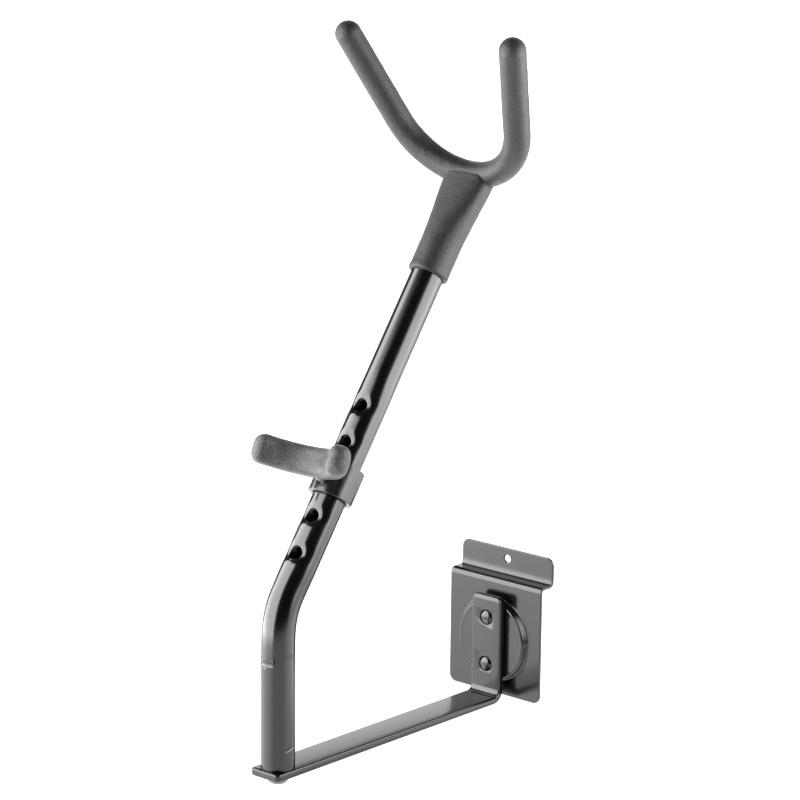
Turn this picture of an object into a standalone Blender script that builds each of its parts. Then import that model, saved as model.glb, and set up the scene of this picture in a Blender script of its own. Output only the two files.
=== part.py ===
"""Saxophone display holder for a slatted shop wall.

A bent sheet-steel plate hooks behind the lip of a wall slat.  A flat steel
bar is riveted to it, runs out from the wall and carries a bent steel tube.
The tube's top is pressed flat and welded to a covered fork that takes the
saxophone's bell, and a covered prong on a sliding collar carries its bow.

Frame: origin on the plate's flat back face, on the centre line, +X to the
right as seen from the room, +Y into the wall, +Z up.  Metres.
"""

import math

import bmesh
import bpy
from mathutils import Matrix, Vector

# ---------------------------------------------------------------- dimensions
GAP = 0.0003            # gap left between pieces that touch

PLATE_W = 0.080         # slatwall plate
PLATE_T = 0.002
PLATE_BOTTOM_Z = -0.0747
STEP_Z = 0.0063         # middle of the horizontal step of the hook
TONGUE_TOP_Z = 0.0254
TONGUE_SETBACK = 0.0118  # main face to tongue face
PLATE_BEND_R = 0.0028   # centre-line radius of the hook's bends
PLATE_CORNER_R = 0.0055
LOCK_HOLE_R = 0.0030
LOCK_HOLE_Z = 0.0180
EMBOSS_Z = -0.0357      # raised round field pressed in the plate
EMBOSS_R_BASE = 0.0295
EMBOSS_R_TOP = 0.0278
EMBOSS_H = 0.0040
EMBOSS_FILLET = 0.0010

BAR_W = 0.025           # flat bar
BAR_T = 0.005
BAR_EDGE_R = 0.0012
BAR_BOTTOM_Z = -0.0775
BAR_FREE_END_Y = -0.2283
BAR_CORNER_R = 0.0034
LEG_TOP_Z = -0.0034
LEG_CORNER_R = 0.0040
BAR_BEND_R_IN = 0.0044
LEG_BACK_Y = -(PLATE_T + EMBOSS_H + GAP)

RIVET_Z = (-0.0189, -0.0520)
RIVET_SINK_R = 0.0052   # counterbore in the leg
RIVET_SINK_DEPTH = 0.0024
RIVET_HEAD_R = 0.0048
RIVET_SHANK_R = 0.0030
RIVET_TAIL_R = 0.0048
RIVET_TAIL_H = 0.0024

TUBE_R = 0.011          # bent upright tube
TUBE_WALL = 0.0015
TUBE_Y = -0.2152
CORNER_Z = 0.0280       # where the two straight runs' centre lines meet
TILT = math.radians(34.88)
BEND_R = 0.050          # centre-line radius of the bend
TUBE_END_S = 0.3170     # distances s run from the corner up the tilted run
FLAT_FROM_S = 0.2640
FLAT_HALF_W = 0.0150
FLAT_HALF_T = 0.0042
OVAL = 1.05             # widening of the section where the holes are pierced
HOLE_PITCH = 0.026
HOLE_MID_S = 0.0919
HOLE_COUNT = 5
HOLE_R = 0.0044
DISH_DEPTH = 0.0032
DISH_ALONG = 0.0062
DISH_ACROSS = 0.0046
STAKE_Z = BAR_BOTTOM_Z + 0.019

INSERT_LEN = 0.022      # threaded plug in the tube's foot
SCREW_R = 0.004
SCREW_HEAD_R = 0.0070
SCREW_HEAD_H = 0.0044
SCREW_LEN = 0.022
WASHER_R = 0.0074
WASHER_T = 0.0012

FORK_S = 0.3175         # fork base, along and just behind the tube's centre line
FORK_OUT = -0.0012
FORK_SLOPE = math.radians(117.1)
FORK_ARC_R = 0.0528
FORK_FLARE = math.radians(16.5)
FORK_ARM = 0.0655
FORK_COVER_R = 0.0085
FORK_ROD_R = 0.0050

SLEEVE_FROM_S = 0.2420  # moulded neck sleeve
SLEEVE_TO_S = 0.3138
SLEEVE_R = 0.0134
SLEEVE_HALF_W = 0.0185
SLEEVE_HALF_T = 0.0090

COLLAR_R = 0.0149
COLLAR_BORE_R = 0.01175
COLLAR_LEN = 0.0225
COLLAR_UP = 0.0008      # collar middle above the stem
COLLAR_EDGE = 0.0006
STEM_R = 0.0050
STEM_NOSE_R = 0.0112    # nose stays just outside the tube wall
PRONG_R = 0.0360        # centre-line radius of the lower prong
PRONG_HALF_ANGLE = math.radians(60.5)
PRONG_OUT = 0.0233      # tube centre line to prong centre line
PRONG_UP = 0.0042
PRONG_DIP = math.radians(7.7)   # arms lean below square to the tube
PRONG_TURN = math.radians(3.4)  # as left when screwed home
PAD_HALF_H = 0.0097
PAD_HALF_T = 0.0071
CORE_HALF_H = 0.0065
CORE_HALF_T = 0.0020

# ---------------------------------------------------------------- clean slate
for o in list(bpy.data.objects):
    bpy.data.objects.remove(o, do_unlink=True)

PARTS = bpy.data.collections.new("saxophone_holder")
CUTS = bpy.data.collections.new("cutters")
bpy.context.scene.collection.children.link(PARTS)
bpy.context.scene.collection.children.link(CUTS)


# ---------------------------------------------------------------- helpers
def material(name, colour, rough, metal):
    m = bpy.data.materials.new(name)
    m.use_nodes = True
    b = m.node_tree.nodes["Principled BSDF"]
    b.inputs["Base Color"].default_value = (*colour, 1.0)
    b.inputs["Roughness"].default_value = rough
    b.inputs["Metallic"].default_value = metal
    return m


STEEL_COAT = material("powder_coat", (0.045, 0.046, 0.048), 0.42, 0.0)
TUBE_COAT = material("gloss_coat", (0.020, 0.020, 0.021), 0.20, 0.0)
ZINC = material("zinc_steel", (0.55, 0.56, 0.58), 0.35, 1.0)
SCREW_BLACK = material("black_screw", (0.03, 0.03, 0.032), 0.35, 0.6)
BARE_STEEL = material("bare_steel", (0.45, 0.45, 0.46), 0.45, 1.0)
FOAM = material("foam_skin", (0.075, 0.077, 0.080), 0.75, 0.0)
PLASTIC = material("black_plastic", (0.060, 0.061, 0.063), 0.40, 0.0)


def link(obj, mat=None, cutter=False):
    (CUTS if cutter else PARTS).objects.link(obj)
    if cutter:
        obj.hide_render = True
        obj.display_type = "WIRE"
    if mat is not None:
        obj.data.materials.clear()
        obj.data.materials.append(mat)
    return obj


def from_bm(bm, name, mat=None, cutter=False):
    bmesh.ops.recalc_face_normals(bm, faces=bm.faces[:])
    me = bpy.data.meshes.new(name)
    bm.to_mesh(me)
    bm.free()
    return link(bpy.data.objects.new(name, me), mat, cutter)


def smooth(obj, angle=math.radians(35)):
    obj.data.shade_smooth()
    obj.data.set_sharp_from_angle(angle=angle)


def to_mesh_object(obj, name=None):
    """Evaluated copy of a curve or a modified mesh as a plain, welded mesh."""
    bpy.context.view_layer.update()
    dg = bpy.context.evaluated_depsgraph_get()
    me = bpy.data.meshes.new_from_object(obj.evaluated_get(dg))
    bm = bmesh.new()
    bm.from_mesh(me)
    bmesh.ops.remove_doubles(bm, verts=bm.verts[:], dist=1e-6)
    bmesh.ops.recalc_face_normals(bm, faces=bm.faces[:])
    bm.to_mesh(me)
    bm.free()
    new = bpy.data.objects.new(name or obj.name, me)
    new.matrix_world = obj.matrix_world.copy()
    coll = obj.users_collection[0]
    old = obj.name
    coll.objects.link(new)
    new.hide_render = obj.hide_render
    new.display_type = obj.display_type
    bpy.data.objects.remove(obj, do_unlink=True)
    new.name = name or old
    return new


def boolean(obj, cutter, operation="DIFFERENCE"):
    m = obj.modifiers.new(cutter.name, "BOOLEAN")
    m.operation = operation
    m.object = cutter
    m.solver = "EXACT"
    return m


def frame_matrix(origin, x, y, z):
    m = Matrix((x, y, z)).transposed().to_4x4()
    m.translation = origin
    return m


def cylinder(name, r, z0, z1, segs=32, mat=None, cutter=False, matrix=None):
    bm = bmesh.new()
    bmesh.ops.create_cone(bm, cap_ends=True, segments=segs, radius1=r, radius2=r,
                          depth=z1 - z0, matrix=Matrix.Translation((0, 0, (z0 + z1) / 2)))
    o = from_bm(bm, name, mat, cutter)
    if matrix is not None:
        o.matrix_world = matrix
    return o


def turned(name, profile, segs=32, mat=None, cutter=False, matrix=None):
    """Screw a closed or axis-to-axis profile of (radius, height) about Z."""
    bm = bmesh.new()
    vs = [bm.verts.new((r, 0, z)) for r, z in profile]
    closed = profile[0][0] > 1e-9
    for a, b in zip(vs, vs[1:]):
        bm.edges.new((a, b))
    if closed:
        bm.edges.new((vs[-1], vs[0]))
    me = bpy.data.meshes.new(name)
    bm.to_mesh(me)
    bm.free()
    o = link(bpy.data.objects.new(name, me), mat, cutter)
    s = o.modifiers.new("Screw", "SCREW")
    s.angle = math.tau
    s.steps = segs
    s.render_steps = segs
    s.use_merge_vertices = True
    s.merge_threshold = 1e-6
    s.axis = "Z"
    o = to_mesh_object(o)
    if mat is not None:
        o.data.materials.clear()
        o.data.materials.append(mat)
    if matrix is not None:
        o.matrix_world = matrix
    return o


def arc(cx, cy, r, a0, a1, n):
    return [(cx + r * math.cos(a0 + (a1 - a0) * i / n),
             cy + r * math.sin(a0 + (a1 - a0) * i / n)) for i in range(n + 1)]


def filleted(points, radii, n=6):
    """Polyline with its inner corners rounded to the given radii."""
    out = [Vector(points[0])]
    for i in range(1, len(points) - 1):
        p0, p, p1 = (Vector(q) for q in points[i - 1:i + 2])
        r = radii[i - 1]
        a, b = (p0 - p).normalized(), (p1 - p).normalized()
        half = a.angle(b) / 2
        cut = r / math.tan(half)
        centre = p + (a + b).normalized() * (r / math.sin(half))
        s, e = p + a * cut - centre, p + b * cut - centre
        total = s.angle_signed(e) if len(s) == 2 else s.angle(e)
        for k in range(n + 1):
            t = k / n
            ang = -total * t
            c, d = math.cos(ang), math.sin(ang)
            out.append(centre + Vector((c * s.x - d * s.y, d * s.x + c * s.y)))
    out.append(Vector(points[-1]))
    return out


def offset_line(line, d):
    """Polyline moved sideways by d, to the left of its direction."""
    out = []
    for i, p in enumerate(line):
        a = (line[i] - line[i - 1]).normalized() if i else None
        b = (line[i + 1] - line[i]).normalized() if i < len(line) - 1 else None
        a, b = a or b, b or a
        na, nb = Vector((-a.y, a.x)), Vector((-b.y, b.x))
        m = (na + nb).normalized()
        out.append(p + m * (d / m.dot(na)))
    return out


def extruded(name, outline, half, matrix, mat=None, cutter=False):
    """A filled 2D outline extruded to both sides of its plane."""
    cu = bpy.data.curves.new(name, "CURVE")
    cu.dimensions = "2D"
    cu.fill_mode = "BOTH"
    cu.extrude = half
    sp = cu.splines.new("POLY")
    sp.points.add(len(outline) - 1)
    for q, (x, y) in zip(sp.points, outline):
        q.co = (x, y, 0, 1)
    sp.use_cyclic_u = True
    o = link(bpy.data.objects.new(name, cu), None, cutter)
    o.matrix_world = matrix
    o = to_mesh_object(o)
    if mat is not None:
        o.data.materials.clear()
        o.data.materials.append(mat)
    return o


# local (x, y) -> world (Y, Z), extruded along X
YZ = frame_matrix(Vector((0, 0, 0)), Vector((0, 1, 0)), Vector((0, 0, 1)), Vector((1, 0, 0)))
# local (x, y) -> world (X, Z), extruded along Y
XZ = frame_matrix(Vector((0, 0, 0)), Vector((1, 0, 0)), Vector((0, 0, 1)), Vector((0, -1, 0)))


def along_y(x, y, z, towards_room=True):
    """Local Z points to the room (-Y) or into the wall (+Y)."""
    if towards_room:
        return frame_matrix(Vector((x, y, z)), Vector((1, 0, 0)), Vector((0, 0, 1)), Vector((0, -1, 0)))
    return frame_matrix(Vector((x, y, z)), Vector((-1, 0, 0)), Vector((0, 0, 1)), Vector((0, 1, 0)))


# tilted run of the tube: unit vectors along it and square to it
CORNER = Vector((0, TUBE_Y, CORNER_Z))
U = Vector((0, math.sin(TILT), math.cos(TILT)))
N = Vector((0, -math.cos(TILT), math.sin(TILT)))
XV = Vector((1, 0, 0))
BEND_T = BEND_R * math.tan(TILT / 2)
FOOT_Z = BAR_BOTTOM_Z + BAR_T + GAP


def on_run(s, x=0.0, n=0.0):
    return CORNER + U * s + N * n + XV * x


def tube_station(t):
    """Centre, outward direction and s of the tube at height t above its foot, along it."""
    lv = (CORNER_Z - BEND_T) - FOOT_Z
    la = BEND_R * TILT
    if t <= lv:
        return Vector((0, TUBE_Y, FOOT_Z + t)), Vector((0, -1, 0)), t - lv - la + BEND_T
    if t <= lv + la:
        a = (t - lv) / BEND_R
        c = Vector((0, TUBE_Y + BEND_R, CORNER_Z - BEND_T))
        return (c + Vector((0, -math.cos(a), math.sin(a))) * BEND_R,
                Vector((0, -math.cos(a), math.sin(a))), BEND_T - (lv + la - t))
    s = BEND_T + t - lv - la
    return on_run(s), N.copy(), s


def ease(k):
    k = min(1.0, max(0.0, k))
    return k * k * (3 - 2 * k)


def flat_section(s, r, half_w, half_t, from_s, to_s, extra=0.0):
    """Half width, half thickness and squareness of a round section that flattens."""
    k = min(1.0, max(0.0, (s - from_s) / (to_s - from_s)))
    k = 0.5 * k + 0.5 * ease(k)
    return r + (half_w - r) * k + extra, r + (half_t - r) * k + extra, 1.0 - 0.35 * k


def section_point(a, b, e, ang):
    c, d = math.cos(ang), math.sin(ang)
    return (a * math.copysign(abs(c) ** e, c), b * math.copysign(abs(d) ** e, d))


def loft(name, rings, caps, mat=None, cutter=False):
    """Skin a list of closed rings of points; optionally fill both ends."""
    bm = bmesh.new()
    rows = [[bm.verts.new(p) for p in ring] for ring in rings]
    n = len(rows[0])
    for r0, r1 in zip(rows, rows[1:]):
        for i in range(n):
            bm.faces.new((r0[i], r0[(i + 1) % n], r1[(i + 1) % n], r1[i]))
    if caps:
        bm.faces.new(rows[0][::-1])
        bm.faces.new(rows[-1])
    return from_bm(bm, name, mat, cutter)


HOLES_S = [HOLE_MID_S + (i - (HOLE_COUNT - 1) / 2) * HOLE_PITCH for i in range(HOLE_COUNT)]


# ---------------------------------------------------------------- slatwall plate
mid = -PLATE_T / 2
back = mid + TONGUE_SETBACK
spine = filleted([(mid, PLATE_BOTTOM_Z), (mid, STEP_Z), (back, STEP_Z), (back, TONGUE_TOP_Z)],
                 [PLATE_BEND_R, PLATE_BEND_R], n=6)
outline = offset_line(spine, PLATE_T / 2) + offset_line(spine, -PLATE_T / 2)[::-1]
plate = extruded("slatwall_plate", outline, PLATE_W / 2, YZ, STEEL_COAT)

zc = (PLATE_BOTTOM_Z + TONGUE_TOP_Z) / 2
hw, hh = PLATE_W / 2, (TONGUE_TOP_Z - PLATE_BOTTOM_Z) / 2
r = PLATE_CORNER_R
blank = []
for cx, cz, a0 in ((hw - r, zc + hh - r, 0), (-hw + r, zc + hh - r, 90),
                   (-hw + r, zc - hh + r, 180), (hw - r, zc - hh + r, 270)):
    blank += arc(cx, cz, r, math.radians(a0), math.radians(a0 + 90), 6)
boolean(plate, extruded("cut_blank", blank, 0.05, XZ, cutter=True), "INTERSECT")

f = EMBOSS_FILLET
boss = [(0.0, 0.0010), (EMBOSS_R_BASE, 0.0010), (EMBOSS_R_BASE, PLATE_T + 0.0002)]
boss += arc(EMBOSS_R_TOP - f, PLATE_T + EMBOSS_H - f, f, math.radians(8), math.radians(90), 4)
boss += [(0.0, PLATE_T + EMBOSS_H)]
boolean(plate, turned("add_emboss", boss[::-1], 44, cutter=True, matrix=along_y(0, 0, EMBOSS_Z)), "UNION")
dent = [(0.0, -0.002), (EMBOSS_R_BASE - 0.0022, -0.002), (EMBOSS_R_BASE - 0.0022, 0.0)]
dent += arc(EMBOSS_R_TOP - 0.0022 - f, EMBOSS_H - f, f, math.radians(8), math.radians(90), 4)
dent += [(0.0, EMBOSS_H)]
boolean(plate, turned("cut_emboss", dent[::-1], 44, cutter=True, matrix=along_y(0, 0, EMBOSS_Z)))
boolean(plate, cylinder("cut_lock_hole", LOCK_HOLE_R, -0.03, 0.01, 24, cutter=True,
                        matrix=along_y(0, 0, LOCK_HOLE_Z)))
for i, z in enumerate(RIVET_Z):
    boolean(plate, cylinder(f"cut_plate_rivet_{i}", RIVET_SHANK_R + GAP, -0.002, 0.012, 24, cutter=True,
                            matrix=along_y(0, 0, z)))

# ---------------------------------------------------------------- flat bar
# cut flat with rounded edges, then bent up into the leg
yl = LEG_BACK_Y - BAR_T / 2
zb = BAR_BOTTOM_Z + BAR_T / 2
bend_r = BAR_BEND_R_IN + BAR_T / 2
run = yl - bend_r - BAR_FREE_END_Y
bar_len = run + bend_r * math.pi / 2 + LEG_TOP_Z - (zb + bend_r)
hw, e = BAR_W / 2, BAR_EDGE_R
blank = []
for cx, cy, r, a0 in ((bar_len - LEG_CORNER_R, hw - LEG_CORNER_R, LEG_CORNER_R, 0),
                      (BAR_CORNER_R, hw - BAR_CORNER_R, BAR_CORNER_R, 90),
                      (BAR_CORNER_R, BAR_CORNER_R - hw, BAR_CORNER_R, 180),
                      (bar_len - LEG_CORNER_R, LEG_CORNER_R - hw, LEG_CORNER_R, 270)):
    blank += arc(cx, cy, r - e, math.radians(a0), math.radians(a0 + 90), 5)
cu = bpy.data.curves.new("bracket_bar", "CURVE")
cu.dimensions = "2D"
cu.fill_mode = "BOTH"
cu.extrude = BAR_T / 2 - e
cu.bevel_depth = e
cu.bevel_resolution = 1
sp = cu.splines.new("POLY")
sp.points.add(len(blank) - 1)
for q, (x, y) in zip(sp.points, blank):
    q.co = (x, y, 0, 1)
sp.use_cyclic_u = True
bar = to_mesh_object(link(bpy.data.objects.new("bracket_bar", cu)))
bar.data.materials.clear()
bar.data.materials.append(STEEL_COAT)
bm = bmesh.new()
bm.from_mesh(bar.data)
bmesh.ops.dissolve_limit(bm, angle_limit=math.radians(0.5), verts=bm.verts[:], edges=bm.edges[:])
for k in range(9):
    bmesh.ops.bisect_plane(bm, geom=bm.verts[:] + bm.edges[:] + bm.faces[:], dist=1e-7,
                           plane_co=(run + bend_r * math.pi / 2 * k / 8, 0, 0), plane_no=(1, 0, 0))
for v in bm.verts:
    s, x, t = v.co
    if s <= run:
        v.co = (x, BAR_FREE_END_Y + s, zb + t)
    elif s >= run + bend_r * math.pi / 2:
        v.co = (x, yl - t, zb + bend_r + s - run - bend_r * math.pi / 2)
    else:
        a = (s - run) / bend_r
        v.co = (x, yl - bend_r + (bend_r - t) * math.sin(a), zb + bend_r - (bend_r - t) * math.cos(a))
bmesh.ops.remove_doubles(bm, verts=bm.verts[:], dist=1e-6)
bmesh.ops.recalc_face_normals(bm, faces=bm.faces[:])
bm.to_mesh(bar.data)
bm.free()
for i, z in enumerate(RIVET_Z):
    boolean(bar, turned(f"cut_sink_{i}", [(0, 0.02), (RIVET_SINK_R + 0.0005, 0.02),
                                          (RIVET_SINK_R + 0.0005, BAR_T + 0.0004),
                                          (RIVET_SINK_R + 0.0005, BAR_T),
                                          (RIVET_SINK_R, BAR_T - 0.0007),
                                          (RIVET_SINK_R, BAR_T - RIVET_SINK_DEPTH),
                                          (RIVET_SHANK_R + GAP, BAR_T - RIVET_SINK_DEPTH),
                                          (RIVET_SHANK_R + GAP, -0.01), (0, -0.01)],
                        32, cutter=True, matrix=along_y(0, LEG_BACK_Y, z)))
boolean(bar, cylinder("cut_foot_hole", SCREW_R + GAP, -0.02, 0.02, 28, cutter=True,
                      matrix=Matrix.Translation((0, TUBE_Y, zb))))

# ---------------------------------------------------------------- rivets
for name, z in (("leg_rivet_upper", RIVET_Z[0]), ("leg_rivet_lower", RIVET_Z[1])):
    floor = BAR_T - RIVET_SINK_DEPTH + GAP
    seat = -(GAP + PLATE_T + GAP)
    dome = [(RIVET_HEAD_R * math.sin(a), floor + 0.0008 + 0.0015 * math.cos(a))
            for a in (math.radians(90 * k / 5) for k in range(6))]
    prof = dome + [(RIVET_HEAD_R, floor), (RIVET_SHANK_R, floor), (RIVET_SHANK_R, seat),
                   (RIVET_TAIL_R, seat), (RIVET_TAIL_R, seat - RIVET_TAIL_H * 0.5),
                   (RIVET_TAIL_R * 0.7, seat - RIVET_TAIL_H * 0.85), (0, seat - RIVET_TAIL_H)]
    turned(name, prof, 24, STEEL_COAT, matrix=along_y(0, LEG_BACK_Y, z))

# ---------------------------------------------------------------- upright tube
SEG = 26
lv = (CORNER_Z - BEND_T) - FOOT_Z
la = BEND_R * TILT
total = lv + la + (TUBE_END_S - BEND_T)
stations = [0.0, lv * 0.5] + [lv + la * k / 7 for k in range(8)]
first, last = HOLES_S[0] - HOLE_PITCH / 4, HOLES_S[-1] + HOLE_PITCH / 2
count = round((last - first) / (HOLE_PITCH / 5))
stations += [lv + la + first + (last - first) * k / count - BEND_T for k in range(count + 1)]
stations += [lv + la + FLAT_FROM_S + (TUBE_END_S - FLAT_FROM_S) * k / 8 - BEND_T for k in range(9)]


def tube_ring(t, extra=0.0, dish=True, seg=SEG):
    c, out, s = tube_station(t)
    a, b, e = flat_section(s, TUBE_R, FLAT_HALF_W, FLAT_HALF_T, FLAT_FROM_S, 0.3125, extra)
    k = ease((s - (HOLES_S[0] - 0.026)) / 0.018) * ease((HOLES_S[-1] + 0.026 - s) / 0.018)
    a, b = a * (1 + (OVAL - 1) * k), b * (1 - (OVAL - 1) * 0.6 * k)
    ring = []
    for i in range(seg):
        ang = math.tau * (i + 0.5) / seg
        x, n = section_point(a, b, e, ang)
        if dish and n > 0:
            for h in HOLES_S:
                d = (s - h) / DISH_ALONG
                if abs(d) < 3.2:
                    n -= DISH_DEPTH * math.exp(-0.5 * d * d - 0.5 * (x / DISH_ACROSS) ** 2)
        ring.append(c + XV * x + out * n)
    return ring


tube = loft("upright_tube", [tube_ring(t) for t in stations], False, TUBE_COAT)
sol = tube.modifiers.new("Wall", "SOLIDIFY")
sol.thickness = TUBE_WALL
sol.offset = -1.0
sol.use_even_offset = True
for i, s in enumerate(HOLES_S):
    boolean(tube, cylinder(f"cut_height_hole_{i}", HOLE_R, 0.002, 0.02, 24, cutter=True,
                           matrix=frame_matrix(on_run(s), XV, -U, N) @ Matrix.Rotation(math.radians(6.1), 4, "Z")))

# ---------------------------------------------------------------- tube foot
foot = Matrix.Translation((0, TUBE_Y, 0))
z0 = FOOT_Z + GAP
ri = TUBE_R - TUBE_WALL - GAP
turned("foot_insert", [(SCREW_R + GAP, z0 + INSERT_LEN), (ri - 0.0008, z0 + INSERT_LEN),
                       (ri, z0 + INSERT_LEN - 0.0008), (ri, STAKE_Z + 0.0014), (ri - 0.0010, STAKE_Z + 0.0008),
                       (ri - 0.0010, STAKE_Z - 0.0008), (ri, STAKE_Z - 0.0014), (ri, z0 + 0.0005),
                       (ri - 0.0005, z0), (SCREW_R + GAP, z0)], 32, ZINC, matrix=foot)
zw = BAR_BOTTOM_Z - GAP
turned("foot_lock_washer", [(SCREW_R + GAP, zw), (WASHER_R, zw), (WASHER_R, zw - WASHER_T),
                            (SCREW_R + GAP, zw - WASHER_T)], 32, SCREW_BLACK, matrix=foot)
zh = zw - WASHER_T - GAP
head = [(SCREW_HEAD_R * math.cos(a) if a < math.radians(89) else 0.0,
         zh - 0.0007 - (SCREW_HEAD_H - 0.0007) * math.sin(a))
        for a in (math.radians(90 * k / 6) for k in range(7))]
screw = turned("foot_screw", [(0.0, zh + SCREW_LEN), (SCREW_R - 0.0008, zh + SCREW_LEN),
                              (SCREW_R, zh + SCREW_LEN - 0.0008), (SCREW_R, zh), (SCREW_HEAD_R, zh)] + head,
               30, SCREW_BLACK, matrix=foot)
boolean(screw, cylinder("cut_hex_socket", 0.0025 / math.cos(math.radians(30)), -0.004, 0.0026, 6, cutter=True,
                        matrix=Matrix.Translation((0, TUBE_Y, zh - SCREW_HEAD_H))))


# ---------------------------------------------------------------- fork
FORK_C = on_run(FORK_S, 0.0, FORK_OUT)
FV = Vector((0, math.cos(FORK_SLOPE), math.sin(FORK_SLOPE)))


def fork_line(n_arc=9, n_arm=2, arm=FORK_ARM):
    pts = []
    for k in range(n_arc + 1):
        a = -math.pi / 2 + (math.pi / 2 - FORK_FLARE) * k / n_arc
        pts.append((FORK_ARC_R * math.cos(a), FORK_ARC_R * (1 + math.sin(a))))
    ex, eh = pts[-1]
    for k in range(1, n_arm + 1):
        d = arm * k / n_arm
        pts.append((ex + d * math.sin(FORK_FLARE), eh + d * math.cos(FORK_FLARE)))
    return pts


def fork_curve(name, radius, arm, dome, res, mat=None, cutter=False):
    half = fork_line(arm=arm - (radius if dome else 0.0))
    rad = [1.0] * len(half)
    if dome:
        ex, eh = half[-1]
        for k in range(1, 6):
            a = math.radians(88 * k / 5)
            half.append((ex + radius * math.sin(a) * math.sin(FORK_FLARE),
                         eh + radius * math.sin(a) * math.cos(FORK_FLARE)))
            rad.append(math.cos(a))
    pts = [(-x, h, w) for (x, h), w in zip(half[:0:-1], rad[:0:-1])] + [(x, h, w) for (x, h), w in zip(half, rad)]
    cu = bpy.data.curves.new(name, "CURVE")
    cu.dimensions = "3D"
    cu.bevel_depth = radius
    cu.bevel_resolution = res
    cu.use_fill_caps = True
    sp = cu.splines.new("POLY")
    sp.points.add(len(pts) - 1)
    for q, (x, h, w) in zip(sp.points, pts):
        p = FORK_C + FV * h + XV * x
        q.co = (*p, 1)
        q.radius = w
    o = link(bpy.data.objects.new(name, cu), None, cutter)
    o = to_mesh_object(o)
    if mat is not None:
        o.data.materials.clear()
        o.data.materials.append(mat)
    return o


fork_curve("fork_rod", FORK_ROD_R, FORK_ARM - 0.0010, False, 3, BARE_STEEL)
boolean(tube, fork_curve("cut_fish_mouth", FORK_ROD_R + GAP + 0.0001, FORK_ARM * 0.3, False, 4, cutter=True))
cover = fork_curve("fork_cover", FORK_COVER_R, FORK_ARM + FORK_COVER_R, True, 5, FOAM)
boolean(cover, fork_curve("cut_rod_bore", FORK_ROD_R + GAP, FORK_ARM - 0.0010 + GAP, False, 3, cutter=True))

seat_rings = [[on_run(s) + XV * x + N * n for x, n in
               (section_point(*flat_section(s, TUBE_R, FLAT_HALF_W, FLAT_HALF_T, FLAT_FROM_S, 0.3125, GAP),
                              math.tau * (i + 0.5) / 28) for i in range(28))]
              for s in (0.232, 0.258, 0.264, 0.270, 0.276, 0.282, 0.288, 0.294, 0.300, 0.306, 0.3178)]
tube_void = loft("cut_tube_top", seat_rings, True, cutter=True)
boolean(cover, tube_void)

# ---------------------------------------------------------------- neck sleeve
sleeve_rings = []
for s, lip in ((SLEEVE_FROM_S, -0.0007), (SLEEVE_FROM_S + 0.0007, 0.0), (0.252, 0.0), (0.262, 0.0), (0.270, 0.0),
               (0.278, 0.0), (0.286, 0.0), (0.294, 0.0), (0.302, 0.0), (0.308, 0.0), (SLEEVE_TO_S, 0.0)):
    a, b, e = flat_section(s, SLEEVE_R, SLEEVE_HALF_W, SLEEVE_HALF_T, FLAT_FROM_S, 0.3125, lip)
    sleeve_rings.append([on_run(s) + XV * x + N * n for x, n in
                         (section_point(a, b, e, math.tau * (i + 0.5) / 36) for i in range(36))])
sleeve = loft("neck_sleeve", sleeve_rings, True, FOAM)
boolean(sleeve, tube_void)
boolean(sleeve, fork_curve("cut_fork_saddle", FORK_COVER_R + GAP, FORK_ARM * 0.3, False, 6, cutter=True))

# ---------------------------------------------------------------- height collar
HOME = on_run(HOLE_MID_S)
carriage = bpy.data.objects.new("carriage_axis", None)
PARTS.objects.link(carriage)
carriage.matrix_world = frame_matrix(HOME, XV, -N, U)
h0, h1 = COLLAR_UP - COLLAR_LEN / 2, COLLAR_UP + COLLAR_LEN / 2
e = COLLAR_EDGE
collar = turned("height_collar", [(COLLAR_BORE_R, h1), (COLLAR_R - e, h1), (COLLAR_R, h1 - e), (COLLAR_R, h0 + e),
                                  (COLLAR_R - e, h0), (COLLAR_BORE_R, h0)], 40, PLASTIC)
boolean(collar, cylinder("cut_stem_bore", STEM_R + GAP, 0.005, 0.03, 24, cutter=True,
                         matrix=frame_matrix(HOME, XV, -U, N)))
collar.parent = carriage

# ---------------------------------------------------------------- lower prong
prong = bpy.data.objects.new("prong_axis", None)
PARTS.objects.link(prong)
# local X across, local Y down the tube, local Z out along the stem
prong.matrix_world = frame_matrix(HOME, XV, -U, N) @ Matrix.Rotation(-PRONG_TURN, 4, "Z")


def prong_rings(half_h, half_t, ang, square, domes, seg=20, steps=14):
    """Rings of the prong's section along its arc, with rounded ends if domes is set."""
    rows = []
    marks = [(-ang + 2 * ang * k / steps, 1.0, 0.0) for k in range(steps + 1)]
    if domes:
        tip = []
        for k in range(1, 5):
            a = math.radians(86 * k / 4)
            tip.append((math.sin(a) * half_t * 0.95, math.cos(a)))
        marks = [(-ang, w, -d) for d, w in tip[::-1]] + marks + [(ang, w, d) for d, w in tip]
    for a, w, d in marks:
        cx = PRONG_R * math.sin(a) + d * math.cos(a)
        cn = PRONG_R * (1 - math.cos(a)) + abs(d) * math.sin(abs(a))
        ring = []
        for i in range(seg):
            pu, pt = section_point(half_h - half_t * (1 - w), half_t * w, square, math.tau * (i + 0.5) / seg)
            out = cn + math.cos(a) * pt
            up = pu * math.cos(PRONG_DIP) - out * math.sin(PRONG_DIP)
            out = out * math.cos(PRONG_DIP) + pu * math.sin(PRONG_DIP)
            ring.append(Vector((cx - math.sin(a) * pt, -PRONG_UP - up, PRONG_OUT + out)))
        rows.append(ring)
    return rows


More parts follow.
